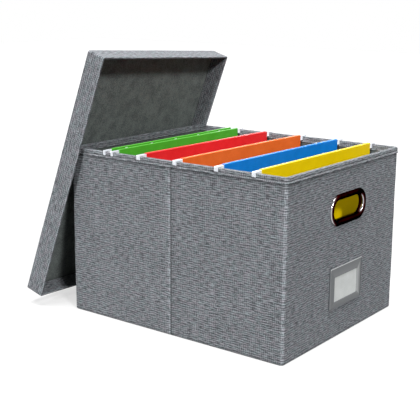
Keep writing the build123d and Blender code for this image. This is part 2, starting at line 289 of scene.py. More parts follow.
# %% Outlines across the base
under_in = np.concatenate([[WIDTH / 2], np.linspace(150, 12, 16), [7.0, 4.0, 2.6, 1.5]])
under_r = np.clip(CORNER_R - under_in * 0.6, 0.3, None) * (under_in < WIDTH / 2)
under_xy = loop_points(wall_table, LENGTH / 2 - under_in, WIDTH / 2 - under_in, under_r)
slack = 0.22 + ripple(under_xy[..., 0], under_xy[..., 1], 31, 120.0, 0.16)
under_z = 0.05 + slack * np.clip((under_in - 1.5) / 20, 0, 1)
# Painted shade: the whole of the cloth under the base is made darker, by -0.12
base_linen = new_piece(
    "base_linen", np.concatenate([under_xy, under_z[..., None]], -1), grid_faces(*under_z.shape),
    "box", under_xy, -0.12 + 0 * under_z,
)
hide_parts("base_cover")

# %% [markdown]
# ## Cloth inside the box
#
# A thin non-woven cloth lines the walls and the base.  It is one more grid: rows down the
# wall, a crease at its foot, then outlines that shrink to the middle of the base.  It is
# made with more slack than the linen, because it is softer and glued with less care.

# %% Down the walls and over the base
WALL_T, BASE_T, LINING_T = 3.4, 3.4, 0.6        # boards with their linen, and the lining
inside, floor_z = WALL_T + LINING_T, BASE_T + LINING_T
WALL_ROWS, FLOOR_ROWS = 84, 12
in_z = np.concatenate([
    np.linspace(255.0, floor_z + 1.0, WALL_ROWS), np.full(FLOOR_ROWS, floor_z),
])
in_from = np.concatenate([
    np.full(WALL_ROWS, inside), np.linspace(inside + 1.0, WIDTH / 2, FLOOR_ROWS),
])
in_r = np.clip(CORNER_R - in_from * 0.6, 0.3, None) * (in_from < WIDTH / 2)
in_xy = loop_points(wall_table, LENGTH / 2 - in_from, WIDTH / 2 - in_from, in_r)
around, up = np.meshgrid(arc_length(in_xy[:, 0]), in_z, indexing="ij")
slack = ripple(around, up, 33, 90.0, 0.2) + ripple(around, up, 34, 24.0, 0.08)
slack = np.where(in_from == inside, slack + 0.1, 0)
in_xy = in_xy - wall_table[:, None, 2:] * slack[..., None]
points = np.concatenate([in_xy, up[..., None]], -1)
faces = off_grips(points, grid_faces(*up.shape), LENGTH / 2 - inside)
inner_cloth = new_piece("inner_cloth", points, faces, "box")
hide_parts("lining")

# %% [markdown]
# ## Binding over the rim
#
# The rim is finished with a strip of linen, folded over the top of the wall and sewn
# through.  Its folded edge stands out as a lip below the thread, and each stitch puckers
# it a little.  A curve with a bevel profile could be swept round.  The profile is carried
# round with numpy instead, so that the puckers can follow the stitches' own spacing.

# %% The strip's section
band_profile = np.array([  # outwards from the wall's face, height
    (-0.6, 250.8), (0.35, 250.4), (1.20, 250.5), (1.62, 251.1), (1.64, 252.0), (1.30, 252.7),
    (0.80, 253.1), (0.66, 253.5), (0.86, 254.2), (1.00, 255.6), (0.98, 257.4), (0.74, 258.7),
    (0.12, 259.6), (-0.8, 260.02), (-2.0, 260.08), (-3.2, 260.02), (-4.1, 259.6), (-4.68, 258.7),
    (-4.85, 257.0), (-4.85, 254.4), (-4.65, 253.3), (-5.2, 252.2), (-5.35, 251.2), (-5.0, 250.4),
    (-4.0, 250.5),
])
out, high = band_profile.T
print("the strip is", round(arc_length(band_profile)[-1], 1), "mm wide, seen in section")

# %% Carried round, puckered by the thread
STITCH = 3.4                     # from one stitch to the next
band_xy = loop_points(wall_table, LENGTH / 2 + 0 * out, WIDTH / 2 + 0 * out, CORNER_R + 0 * out)
around, over = np.meshgrid(arc_length(band_xy[:, 0]), arc_length(band_profile), indexing="ij")
LIP_Z = 251.5                    # height of the folded edge
lip = bell(high - LIP_Z, 1.2) * np.where(out > -2, 1.0, -1.0)
pucker = 0.16 * np.cos(2 * math.pi * around / STITCH) * lip + ripple(around, over, 8, 60.0, 0.22)
# Painted highlights and painted shade on the binding
band_painted_light = 0.0
for strength, at_z, width in (
    (0.30, 251.8, 0.7),                         # painted highlight on the lip
    (0.15, 260.0, 0.5),                         # painted highlight on the top of the rim
    (-0.35, 253.4, 0.5),                        # painted shade in the furrow that the thread pulls
    (-0.5, 250.2, 0.5),                         # painted shade under the lip
):
    band_painted_light = band_painted_light + strength * bell(high - at_z, width)
band_xy = band_xy + wall_table[:, None, 2:] * (out + pucker)[..., None]
tall = high + ripple(around, 0 * around, 9, 70.0, 0.12)
rim_band = new_piece(
    "rim_band", np.concatenate([band_xy, tall[..., None]], -1), grid_faces(*around.shape),
    "box", np.stack([around, over], -1), np.broadcast_to(band_painted_light, around.shape),
)
smooth = rim_band.modifiers.new("smooth", "SUBSURF")
smooth.levels = smooth.render_levels = 1
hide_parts("rim_binding")

# %% [markdown]
# ## Stitches
#
# A row of lock stitches holds the binding, one row outside and one inside.  Each stitch is
# a short length of thread that dives into the cloth at both ends, slightly askew.  An array
# along a curve would do; here the same small grid is placed at every stitch at once.  There
# are hundreds of them, so each has only some thirty faces.

# %% One thread ellipsoid to a stitch
HALF_STITCH, HALF_THREAD = 1.35, (0.34, 0.30)   # half its length, and out and up
STITCH_Z, ASKEW = 253.3, 0.22
RINGS, SIDES = 6, 6


def stitches(name, outwards):
    """A row of ellipsoids (l cos t, d sin t cos u, e sin t sin u) round the walls."""
    s = arc_length(wall_line)
    count = int(s[-1] / STITCH)
    at = (np.arange(count) + 0.5) * s[-1] / count
    seat = np.stack([np.interp(at, s, wall_line[:, k]) for k in (0, 1)], 1)
    normal = np.stack([np.interp(at, s, wall_table[:, k]) for k in (2, 3)], 1)
    normal /= np.linalg.norm(normal, axis=1, keepdims=True)
    along = np.stack([-normal[:, 1], normal[:, 0]], 1)
    t, u = np.meshgrid(
        np.linspace(0, math.pi, RINGS), np.arange(SIDES) * 2 * math.pi / SIDES, indexing="ij"
    )
    half = HALF_STITCH * np.cos(t)
    thick = HALF_THREAD[0] * np.sin(t) * np.cos(u)
    flat = seat[:, None, None] + along[:, None, None] * half[..., None]
    flat = flat + normal[:, None, None] * (outwards + thick)[..., None]
    z = STITCH_Z + ASKEW * np.cos(t) + HALF_THREAD[1] * np.sin(t) * np.sin(u)
    z = np.broadcast_to(z[..., None], (*flat.shape[:-1], 1))
    one = grid_faces(RINGS, SIDES, wrap_m=True)[:, ::-1]
    faces = (one[None] + RINGS * SIDES * np.arange(count)[:, None, None]).reshape(-1, 4)
    return new_piece(name, np.concatenate([flat, z], -1), faces, "box")


stitches("rim_stitches", 0.80)
stitches("rim_stitches_inside", -4.8)

# %% [markdown]
# ## The lid's place
#
# The lid stands on one corner of its foot and leans on the box, so none of its faces is
# upright.  A mesh whose object is turned would be easier, but the finished pieces keep
# their objects unturned.  So its points are worked out flat, in the lid's own directions,
# and then turned and moved as the solid lid is.

# %% Turn and move
LID_LENGTH, LID_WIDTH, LID_DEPTH = 402.0, 339.0, 32.0
LID_T, LID_CORNER_R = 3.4, 3.0
TWIST, LEAN, LID_ROLL = 2.9, 17.9, -2.97        # degrees about Z, Y and X
LID_FOOT = (-254.2504, -21.1895, 8.2131)        # the middle of its foot


def turn(axis, degrees):
    """Rotation matrix about axis 0, 1 or 2: [c -s; s c] in the two other directions."""
    c, s = math.cos(math.radians(degrees)), math.sin(math.radians(degrees))
    i, j = ((1, 2), (2, 0), (0, 1))[axis]
    matrix = np.eye(3)
    matrix[i, i] = matrix[j, j] = c
    matrix[j, i], matrix[i, j] = s, -s
    return matrix


LID_TURN = turn(2, TWIST) @ turn(1, LEAN) @ turn(0, LID_ROLL)


def lid_points(flat_xy, deep):
    """Lid coordinates to the frame: R (deep, across, along) + foot.

    flat_xy is along the lid from its middle and across it, and deep is from its rim, so it
    is minus LID_DEPTH on its back.
    """
    own = np.stack([deep, flat_xy[..., 1], flat_xy[..., 0] + LID_LENGTH / 2], -1)
    return own @ LID_TURN.T + np.array(LID_FOOT)


print("the lid's back faces", np.round(LID_TURN @ (-1, 0, 0), 2))

# %% [markdown]
# ## Linen on the lid
#
# One piece of linen comes out of the tray, goes over the rim, down the outside and across
# the back.  On the back its weave lies square to the lid, and on the sides it runs round
# it.  A box with a Bevel would give the shape but not the weave.  So the section is a line
# of insets and depths, carried round the lid's outline, and the large flat back gets waves
# of slack up to 190 mm long.

# %% The section, from the inside over the rim to the middle of the back
EDGE_R, BACK_ROWS = 2.2, 17                      # rolled edge of the back
half_rim = LID_T / 2
rim_arc = np.linspace(0, math.pi, 9)
edge_arc = np.linspace(0, math.pi / 2, 6)[1:]
lid_in = np.concatenate([
    [LID_T, LID_T, LID_T], half_rim + half_rim * np.cos(rim_arc), np.zeros(9),
    EDGE_R * (1 - np.cos(edge_arc)), [4.0, 7.0, 12.0, 20.0], np.linspace(32, LID_WIDTH / 2, 13),
])
lid_deep = np.concatenate([
    [LID_T - LID_DEPTH, -18.0, -9.0], -half_rim + half_rim * np.sin(rim_arc) * 0.95,
    np.linspace(-3.6, 3.0 - LID_DEPTH, 9), EDGE_R - LID_DEPTH - EDGE_R * np.sin(edge_arc),
    [-LID_DEPTH] * BACK_ROWS,
])
over = arc_length(np.stack([lid_in, lid_deep], 1))
print("the lid's section is", round(over[-1], 1), "mm long, in", len(over), "rows")

# %% Carried round the lid
lid_r = np.maximum(LID_CORNER_R - lid_in, 0.4) * (lid_in < LID_WIDTH / 2)
lid_table = loop_table(np.linspace(-1, 1, 121), np.linspace(-1, 1, 101), 7)
lid_xy = loop_points(lid_table, LID_LENGTH / 2 - lid_in, LID_WIDTH / 2 - lid_in, lid_r)
around, over = np.meshgrid(arc_length(lid_xy[:, 14]), over, indexing="ij")
on_back = (lid_deep < 0.01 - LID_DEPTH)[None, :]
weave = np.where(on_back[..., None], lid_xy, np.stack([around, over], -1))
print("lid grid:", around.shape)

# %% Its slack, and painted highlights on its edges
bow = ripple(lid_xy[..., 0], lid_xy[..., 1], 21, 190.0, 0.5) + ripple(around, over, 22, 40.0, 0.12)
deep = lid_deep - bow * np.where(on_back, np.clip(lid_in / 30, 0, 1), 0)
side_bow = np.where(on_back, 0, ripple(around, over, 23, 120.0, 0.3))
to_corner = np.maximum(
    LID_LENGTH / 2 - np.abs(lid_xy[..., 0]), LID_WIDTH / 2 - np.abs(lid_xy[..., 1])
)
lid_painted_highlight = 0.35 * bell(lid_deep + 0.2, 1.6)     # painted highlights: the rim, then the back's edge, the corners
lid_painted_highlight = lid_painted_highlight + 0.16 * bell(lid_deep - 1.0 + LID_DEPTH, 1.5) * (lid_in < 3)
lid_painted_highlight = lid_painted_highlight + 0.22 * bell(np.maximum(to_corner - 1.0, 0), 2.4) * np.where(on_back, 0, 1)
lid_xy = lid_xy + lid_table[:, None, 2:] * side_bow[..., None]
lid_linen = new_piece(
    "lid_linen", lid_points(lid_xy, deep), grid_faces(*around.shape), "lid",
    weave, lid_painted_highlight,
)
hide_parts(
    "lid_cover", "lid_top_wrap", "lid_near_wrap", "lid_foot_wrap", "lid_far_wrap"
)

# %% [markdown]
# ## Cloth inside the lid
#
# A sheet of the non-woven cloth covers the inside of the lid's back and ends at its sides.
# It is the largest dark surface in view, so its slack and the painted shade in the crease
# round its edge are what keep it from looking like painted board.

# %% Outlines across the lid's inside
cloth_in = np.concatenate([
    [LID_WIDTH / 2], np.linspace(155, 20, 28), [14.0, 9.0, 6.0, 4.2, LID_T],
])
cloth_r = 0.4 * (cloth_in < LID_WIDTH / 2)
cloth_xy = loop_points(lid_table, LID_LENGTH / 2 - cloth_in, LID_WIDTH / 2 - cloth_in, cloth_r)
slack = ripple(cloth_xy[..., 0], cloth_xy[..., 1], 41, 110.0, 0.35)
slack = slack + ripple(cloth_xy[..., 0], cloth_xy[..., 1], 42, 26.0, 0.12)
deep = LID_T - LID_DEPTH + (0.25 + slack) * np.clip((cloth_in - LID_T) / 8, 0, 1)
# Painted shade in the crease round the cloth's edge
crease_painted_shade = np.broadcast_to(-0.45 * bell(cloth_in - LID_T, 2.2), deep.shape)
lid_cloth = new_piece(
    "lid_cloth", lid_points(cloth_xy, deep), grid_faces(*deep.shape), "lid",
    painted_light_and_wear=crease_painted_shade,
)
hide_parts("lid_lining")

# %% [markdown]
# ## Grips
#
# A grip is a stamped metal grommet: a domed flange outside, and a thin tube that lines the
# hole and holds a ring inside.  A bevelled curve would give a round flange, but the real
# one is flatter than a circle, so its section is a power of sine and cosine, carried round
# the opening.  At the two ends, white glints are painted on the flange's outer and inner edges.

# %% The section of flange and tube
FLANGE, FLANGE_T = 8.7, 2.8      # breadth, and height over the cloth
TUBE_T, TUBE_END = 1.2, 189.4    # its wall, and where it ends inside
FLAT_POWER = 0.8                 # below 1 makes the dome flatter, with rounder shoulders
t = np.linspace(math.pi, 0, 21)
half = FLANGE / 2
dome_out = half + half * np.sign(np.cos(t)) * np.abs(np.cos(t)) ** FLAT_POWER
dome_x = LENGTH / 2 + 0.05 + (FLANGE_T - 0.05) * np.abs(np.sin(t)) ** FLAT_POWER
grow = np.concatenate([[0.0, 0.0], dome_out, [TUBE_T, TUBE_T, TUBE_T * 0.6]])
grip_x = np.concatenate([
    [TUBE_END, LENGTH / 2 - 2], dome_x, [LENGTH / 2 + 0.05, TUBE_END + 0.1, TUBE_END],
])
print("the grip's section has", len(grow), "points")

# %% Carried round the opening, at both ends of the box
grip_table = loop_table(np.linspace(-1, 1, 9), np.array([-1.0, 1.0]), 15)
grip_yz = loop_points(grip_table, GRIP_L / 2 + grow, GRIP_H / 2 + grow, GRIP_H / 2 + grow)
grip_x = np.broadcast_to(grip_x, grip_yz.shape[:-1])
# Painted glints: white on the flange's outer and inner edges, at the two ends of the opening
grip_painted_glint = bell(grow - 8.2, 0.75) + bell(grow - 0.35, 0.6)
grip_painted_glint[:2] = 0.0                 # not inside the tube
grip_painted_glint[-3:] = 0.0                # nor behind the flange
at_ends = np.clip((np.abs(grip_table[:, 2]) - 0.35) / 0.45, 0, 1)
grip_painted_glint = 0.6 * at_ends[:, None] * grip_painted_glint
for end, sign in (("front", 1), ("rear", -1)):
    points = np.stack([sign * grip_x, FITTING_Y + grip_yz[..., 0], GRIP_Z + grip_yz[..., 1]], -1)
    faces = grid_faces(*grip_x.shape, wrap_m=True)[:, ::-sign]   # so that both point outwards
    grip = new_piece(f"{end}_grip", points, faces, "box", painted_light_and_wear=grip_painted_glint)
    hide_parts(f"{end}_grommet")

# %% [markdown]
# ## Label holder
#
# A small frame of moulded plastic, with a raised bead at its outer edge and a thinner one
# round the window.  The card slides in from above, between frame and cloth, so the frame is
# open behind at the top.  Its section is carried between two outlines, the outer edge and
# the window, which a plain extrusion with bevels couldn't give.

# %% The section between the outer edge and the window
LABEL_W, LABEL_H, LABEL_Z, LABEL_CORNER_R = 93.0, 62.0, 77.0, 2.5
WINDOW_W, WINDOW_H, WINDOW_Z, WINDOW_CORNER_R = 66.0, 37.0, 74.5, 1.0
POCKET_W, POCKET_DEEP = 75.2, 0.9
BEAD_TOP, FACE_LEAST = 1.95, 1.0  # heights over the cloth: of the bead, and least of the face
PROFILE = np.array([  # 0 for the outer edge or 1 for the window's, way in from it, height
    (0, 0.0, 0.05), (0, 0.0, 1.2), (0, 0.2, 1.7), (0, 0.7, BEAD_TOP), (0, 1.2, 1.75),
    (0, 1.6, 1.45), (0, 2.2, 1.4), (1, -1.5, 1.4), (1, -1.1, 1.55), (1, -0.4, 1.5),
    (1, 0.0, 1.2), (1, 0.0, POCKET_DEEP), (1, -2.0, POCKET_DEEP), (0, 2.0, POCKET_DEEP),
    (0, 0.9, POCKET_DEEP), (0, 0.9, 0.05),
])
at_window, inwards, rise = PROFILE.T
slot_edge = POCKET_W / (LABEL_W - 2 * LABEL_CORNER_R)
slot_sides = [-slot_edge - 0.004, -slot_edge, 0, slot_edge, slot_edge + 0.004]
label_table = loop_table(np.array([-1, *slot_sides, 1]), np.array([-1.0, 0, 1.0]), 4)
print("the card's slot takes", round(slot_edge * 100), "% of the upper side")

# %% Carried round, open at the top for the card
half_wide = np.where(at_window, WINDOW_W, LABEL_W) / 2 - inwards
half_high = np.where(at_window, WINDOW_H, LABEL_H) / 2 - inwards
round_r = np.maximum(np.where(at_window, WINDOW_CORNER_R, LABEL_CORNER_R) - inwards, 0.3)
label_yz = loop_points(label_table, half_wide, half_high, round_r)
on_top = label_table[:, 3] == 1
in_slot = on_top & (np.abs(label_table[:, 0]) <= slot_edge + 0.001)
rise_x = np.where(in_slot[:, None], np.maximum(rise, POCKET_DEEP + 0.02), rise)
label_z = label_yz[..., 1] + np.where(at_window, WINDOW_Z, LABEL_Z)
points = np.stack([LENGTH / 2 + rise_x, FITTING_Y + label_yz[..., 0], label_z], -1)
print("the frame stands", rise_x.max(), "mm proud")

# %% Painted highlights on its bead and the window's bevel
on_bead = bell(rise - BEAD_TOP, 0.3) * (at_window == 0)
# Painted highlight on the bead, strong along the top and weaker on the left side
painted_side_highlight = 0.62 * (label_table[:, 3] > 0.5) + 0.16 * (label_table[:, 2] < -0.5)
# Painted highlight on the window's bevel, strongest on the right side
window_painted_highlight = 0.05 + 0.3 * (label_table[:, 2] > 0.5) * (label_table[:, 3] == 0)
label_painted_highlight = painted_side_highlight[:, None] * on_bead + window_painted_highlight[:, None] * (at_window * (rise > FACE_LEAST))[None]
label_frame = new_piece(
    "label_frame", points, grid_faces(*rise_x.shape, wrap_m=True), "box",
    painted_light_and_wear=label_painted_highlight,
)
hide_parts("label_holder")

# %% [markdown]
# ## How a material is put together
#
# Every finish below is one Principled shader with a pattern for its colour, a bump and, on
# paper and hard skins, a pattern for its gloss.  Nodes could be wired in the shader editor.
# In a script one small function adds a node, makes its settings and fills or wires its
# inputs, so that a material reads from top to bottom as its maker would tell it.

# %% Colours and nodes
def colour(hexed):
    """Scene-linear colour of an sRGB hex: ((v + 0.055) / 1.055)^2.4, or v / 12.92 near 0."""
    value = np.array([int(hexed[k:k + 2], 16) for k in (1, 3, 5)]) / 255
    linear = np.where(value <= 0.04045, value / 12.92, ((value + 0.055) / 1.055) ** 2.4)
    return (*linear.tolist(), 1.0)


def add(tree, kind, inputs=(), **settings):
    """A node with its settings made and its inputs filled, or wired from a node or socket."""
    made = tree.nodes.new("ShaderNode" + kind)
    for key, value in settings.items():
        setattr(made, key, value)
    for key, value in dict(inputs).items():
        if isinstance(value, bpy.types.Node):
            value = value.outputs[0]
        if isinstance(value, bpy.types.NodeSocket):
            tree.links.new(value, made.inputs[key])
        else:
            made.inputs[key].default_value = value
    return made


print("mid grey #808080 is", round(colour("#808080")[0], 3))

# %% Materials, and putting them on
TO_MM = (1000.0,) * 3            # Object coordinates are in metres, patterns in millimetres


def material(name, **shader):
    """A material with its Principled shader's values set, its node tree and its shader."""
    made = bpy.data.materials.new(name)
    made.use_nodes = True
    tree = made.node_tree
    tree.nodes.clear()
    values = {key.replace("_", " "): value for key, value in shader.items()}
    surface = add(tree, "BsdfPrincipled", values)
    add(tree, "OutputMaterial", {"Surface": surface})
    return made, tree, surface


def finish(tree, surface, base, height, strength, distance):
    """Wires a colour and a bump, of a height pattern times distance in metres, to a surface."""
    tree.links.new(base, surface.inputs["Base Color"])
    bump = add(tree, "Bump", {"Height": height, "Strength": strength, "Distance": distance})
    tree.links.new(bump.outputs[0], surface.inputs["Normal"])


def dress(made, *names):
    """Puts a material on pieces and solids."""
    for name in names:
        data = bpy.data.objects[name].data
        data.materials.clear()
        data.materials.append(made)
    print(made.name, "on", len(names))


print("patterns see a box of", [LENGTH, WIDTH, HEIGHT], "units, one to the millimetre")

# %% [markdown]
# ## Heathered linen
#
# The cloth is a plain weave of slubby yarns, spun from fibres dyed light and dark before
# they were mixed.  Thick and thin places in a yarn show as short dashes, mostly along the
# weft, and here and there along the warp.  An image of cloth would be quicker, but it would
# repeat.  Several Noise textures, stretched to the size of a dash, give dashes that never
# repeat, and they follow the weave that each piece carries.  Dull fibres scatter light
# every way, so the roughness is high, and the eye sees no gloss at all.
#
# The real yarns lie about 0.5 mm apart, which is a third of a pixel of the render.  So the
# dashes are drawn 1.2 mm high and up to 10 mm long, the ribs 3.3 mm apart and the threads
# of the bump 0.9 mm apart, as coarse as they have to be to show.

# %% The linen's random patterns
RIB, THREAD = 3.3, 0.9           # mm from one to the next
heathered_linen, tree, surface = material("heathered_linen", Roughness=0.92)
on_cloth = add(tree, "Attribute", attribute_name="weave").outputs["Vector"]
noises = {}
for use, cell, detail, rough in (       # cells in mm along the weft, the warp and across
    ("weft", (10.0, 1.2, 1.2), 1.0, 0.4), ("warp", (1.2, 5.5, 5.5), 1.0, 0.4),
    ("patch", (20.0, 12.0, 12.0), 2.0, 0.5), ("speck", (2.0, 1.2, 1.2), 1.0, 0.5),
    ("cloud", (45.0, 45.0, 45.0), 2.0, 0.5), ("dye", (11.0, 6.0, 6.0), 1.0, 0.5),
):
    per_cell = tuple(1 / size for size in cell)
    spot = add(tree, "VectorMath", {0: on_cloth, 1: per_cell}, operation="MULTIPLY")
    pattern = {"Vector": spot, "Scale": 1.0, "Detail": detail, "Roughness": rough}
    noises[use] = add(tree, "TexNoise", pattern)
print("patterns:", ", ".join(noises))

# %% Dashes that cross in patches, on soft ribs
crossing = add(tree, "MapRange", {0: noises["patch"], 1: 0.40, 2: 0.64, 3: 0.08, 4: 0.55})
mixed = add(tree, "Mix", {0: crossing, 2: noises["weft"], 3: noises["warp"]})
for use, part in (("speck", 0.22), ("cloud", 0.08)):
    mixed = add(tree, "Math", {0: noises[use], 1: part, 2: mixed}, operation="MULTIPLY_ADD")
split = add(tree, "SeparateXYZ", {0: on_cloth})
for k, part in ((1, 0.085), (0, 0.045)):    # ribs along the weft, weaker ones along the warp
    way = {0: split.outputs[k], 1: 2 * math.pi / RIB}
    way = add(tree, "Math", way, operation="MULTIPLY")
    way = add(tree, "Math", {0: noises["patch"], 1: 9.0, 2: way}, operation="MULTIPLY_ADD")
    rib = add(tree, "Math", {0: way}, operation="SINE")
    mixed = add(tree, "Math", {0: rib, 1: part, 2: mixed}, operation="MULTIPLY_ADD")
mixed = add(tree, "Math", {0: mixed, 1: 1 / 1.30}, operation="MULTIPLY")    # back to 0 to 1
print("the linen has", len(tree.nodes), "nodes so far")

# %% Two greys of yarn, dyed unevenly, made lighter and darker by painted light and shade, with some wear
YARN_DARK, YARN_LIGHT = "#434649", "#8D9094"
DYE_COOL, DYE_WARM = "#F6FFFF", "#FFF8FC"
mixes = []
for value, low, full, dark, light in (
    (mixed, 0.40, 0.61, YARN_DARK, YARN_LIGHT), (noises["dye"], 0.35, 0.65, DYE_COOL, DYE_WARM),
):
    share = add(tree, "MapRange", {0: value, 1: low, 2: full, 3: 0.0, 4: 1.0})
    ends = {0: share, 6: colour(dark), 7: colour(light)}
    mixes.append(add(tree, "Mix", ends, data_type="RGBA").outputs[2])
yarn = add(tree, "VectorMath", {0: mixes[0], 1: mixes[1]}, operation="MULTIPLY")
# Painted light and shade, with some wear, scale the yarn's colour
painted_light_and_wear = add(tree, "Attribute", attribute_name="painted_light_and_wear").outputs["Fac"]
lighter = add(tree, "Math", {0: painted_light_and_wear, 1: 1.0}, operation="ADD")
base = add(tree, "VectorMath", {0: yarn, "Scale": lighter}, operation="SCALE")
print("yarns from", YARN_DARK, "to", YARN_LIGHT)

# %% Threads over and under, and the dashes' own thickness
waves = []
for k in (0, 1):
    way = add(tree, "Math", {0: split.outputs[k], 1: 2 * math.pi / THREAD}, operation="MULTIPLY")
    waves.append(add(tree, "Math", {0: way}, operation="SINE"))
threads = add(tree, "Math", {0: waves[0], 1: waves[1]}, operation="MULTIPLY")
slubs = add(tree, "Math", {0: mixed, 1: 6.0}, operation="MULTIPLY")
height = add(tree, "Math", {0: threads, 1: 0.2, 2: slubs}, operation="MULTIPLY_ADD")
finish(tree, surface, base.outputs[0], height, 0.6, 0.0005)
dress(heathered_linen, "side_linen", "rim_band", "lid_linen", "base_linen")

# %% [markdown]
# ## Fibres pressed together
#
# The lining is needle-punched: short polyester fibres, tangled by barbed needles, with no
# thread direction.  Grey board is the same idea in wood pulp, pressed flat, and sewing
# thread is spun from such fibres too.  A Noise texture with much fine detail is close to
# all of them.  A little sheen stands for the loose ends, which catch light at the edge of
# a surface and make it look soft.  Real fibres are 0.02 mm thick, so the cells stand for
# tufts of them, 0.5 to 1.8 mm large.

# %% Needled, spun or pressed
def fibres(name, dark, light, tuft):
    """Short fibres in every direction: 0.7 fine noise + 0.3 of 18 mm patches, made lighter
    or darker by the painted light and shade that a piece carries."""
    made, tree, surface = material(name, Roughness=0.95, Sheen_Weight=0.1, Sheen_Roughness=0.6)
    where = add(tree, "TexCoord").outputs["Object"]
    where = add(tree, "VectorMath", {0: where, 1: TO_MM}, operation="MULTIPLY")
    noises = []
    for cell, detail, rough in ((tuft, 4.0, 0.7), (18.0, 2.0, 0.5)):
        spot = add(tree, "VectorMath", {0: where, 1: (1 / cell,) * 3}, operation="MULTIPLY")
        pattern = {"Vector": spot, "Scale": 1.0, "Detail": detail, "Roughness": rough}
        noises.append(add(tree, "TexNoise", pattern))
    mixed = add(tree, "Math", {0: noises[0], 1: 0.7}, operation="MULTIPLY")
    mixed = add(tree, "Math", {0: noises[1], 1: 0.3, 2: mixed}, operation="MULTIPLY_ADD")
    share = add(tree, "MapRange", {0: mixed, 1: 0.42, 2: 0.58, 3: 0.0, 4: 1.0})
    ends = {0: share, 6: colour(dark), 7: colour(light)}
    cloth = add(tree, "Mix", ends, data_type="RGBA").outputs[2]
    # Painted shade, where a piece carries it, scales the colour
    painted_light_and_wear = add(tree, "Attribute", attribute_name="painted_light_and_wear").outputs["Fac"]
    lighter = add(tree, "Math", {0: painted_light_and_wear, 1: 1.0}, operation="ADD")
    base = add(tree, "VectorMath", {0: cloth, "Scale": lighter}, operation="SCALE")
    finish(tree, surface, base.outputs[0], noises[0], 0.4, 0.0005)
    return made


dress(fibres("spun_thread", "#6C6E72", "#A0A2A6", 0.5), "rim_stitches", "rim_stitches_inside")

# %% Linings and boards
# The box's lining is a darker copy of the lid's, the same cloth: shade is painted into its colour
# for the inside of the box
needled_lining_painted_shade = fibres("needled_lining_painted_shade", "#3A403E", "#555B59", 1.6)
needled_lid_lining = fibres("needled_lid_lining", "#444B49", "#6E7673", 1.8)
dress(needled_lining_painted_shade, "inner_cloth")
dress(needled_lid_lining, "lid_cloth")
dress(fibres("cloth_faced_board", "#2C2F30", "#424546", 1.1), "base_insert")
grey_board = fibres("pressed_grey_board", "#7C766B", "#A19A8E", 1.0)
LID_SIDES = ("top", "near", "foot", "far")
wall_boards = [f"{side}_{end}_board" for side in ("near", "far") for end in ("front", "rear")]
lid_boards = [f"lid_{side}_board" for side in LID_SIDES]
dress(
    grey_board, "base_board", "front_board", "rear_board", "lid_panel_board",
    *wall_boards, *lid_boards,
)

# %% [markdown]
# ## Paper stock
#
# The folders and the card are calendered paper: dyed pulp, rolled between polished
# cylinders.  The surface is smooth but not glossy, and its colour a little cloudy.  Along
# the folders' top fold the dye cracks and shows pale, and a highlight is painted there as
# well.  The roughness follows the fibres, so that no two spots shine alike, and the
# specular level is low, because the dye lies in the fibres and nothing coats them.  A
# fibre is 1 to 3 mm long but thinner than a hair, so it is drawn 1.2 mm thick.

# %% Dyed through, calendered, pale at the fold with a painted highlight
GLOSS = (colour("#8A8A8A")[0], colour("#B4B4B4")[0])    # roughness between fibres, and on them
FOLD_Z = HEIGHT + 2.6            # height of the folders' top folds, just over the rim


def calendered(name, dark, light, pale_fold_and_highlight=None):
    """Paper: 0.6 of 22 mm clouds + 0.4 fibres.  With a colour for the top fold, pale cracked dye
    and a painted highlight together, a fifth of that colour is reached 0.8 mm above FOLD_Z."""
    made, tree, surface = material(name, Specular_IOR_Level=0.2)
    where = add(tree, "TexCoord").outputs["Object"]
    where = add(tree, "VectorMath", {0: where, 1: TO_MM}, operation="MULTIPLY")
    noises = []
    for cell, detail in (((22.0, 22.0, 22.0), 3.0), ((1.2, 3.5, 1.2), 3.0)):
        per_cell = tuple(1 / size for size in cell)
        spot = add(tree, "VectorMath", {0: where, 1: per_cell}, operation="MULTIPLY")
        pattern = {"Vector": spot, "Scale": 1.0, "Detail": detail, "Roughness": 0.6}
        noises.append(add(tree, "TexNoise", pattern))
    cloud, fibre = noises
    mixed = add(tree, "Math", {0: cloud, 1: 0.6}, operation="MULTIPLY")
    mixed = add(tree, "Math", {0: fibre, 1: 0.4, 2: mixed}, operation="MULTIPLY_ADD")
    share = add(tree, "MapRange", {0: mixed, 1: 0.35, 2: 0.65, 3: 0.0, 4: 1.0})
    ends = {0: share, 6: colour(dark), 7: colour(light)}
    base = add(tree, "Mix", ends, data_type="RGBA").outputs[2]
    if pale_fold_and_highlight:
        # The top fold: pale where the dye cracks, with a painted highlight as well
        height = add(tree, "SeparateXYZ", {0: where}).outputs[2]
        pale_fold_and_highlight_share = add(tree, "MapRange", {0: height, 1: FOLD_Z, 2: FOLD_Z + 0.8, 3: 0.0, 4: 0.2})
        ends = {0: pale_fold_and_highlight_share, 6: base, 7: colour(pale_fold_and_highlight)}
        base = add(tree, "Mix", ends, data_type="RGBA").outputs[2]
    gloss = add(tree, "MapRange", {0: fibre, 1: 0.2, 2: 0.8, 3: GLOSS[0], 4: GLOSS[1]})
    tree.links.new(gloss.outputs[0], surface.inputs["Roughness"])
    finish(tree, surface, base, fibre, 0.15, 0.0002)
    return made


dress(calendered("pale_card_stock", "#BEC1C0", "#CBCECD"), "label_card")

# %% Five folders
STOCK = {  # dark and light of the dye, and the fold's pale dye with a painted highlight
    "green": ("#46A028", "#50AC33", "#A2DC8C"), "red": ("#D62026", "#E02E32", "#FF8A86"),
    "orange": ("#DF611E", "#EA6C2A", "#FCAA76"), "blue": ("#006EC6", "#0679D6", "#6DB8F2"),
    "yellow": ("#E0C000", "#EACA04", "#F8EA88"),
}
for name, (dark, light, pale_fold_and_highlight) in STOCK.items():
    dress(calendered(f"{name}_dyed_stock", dark, light, pale_fold_and_highlight), f"{name}_folder_sheet")

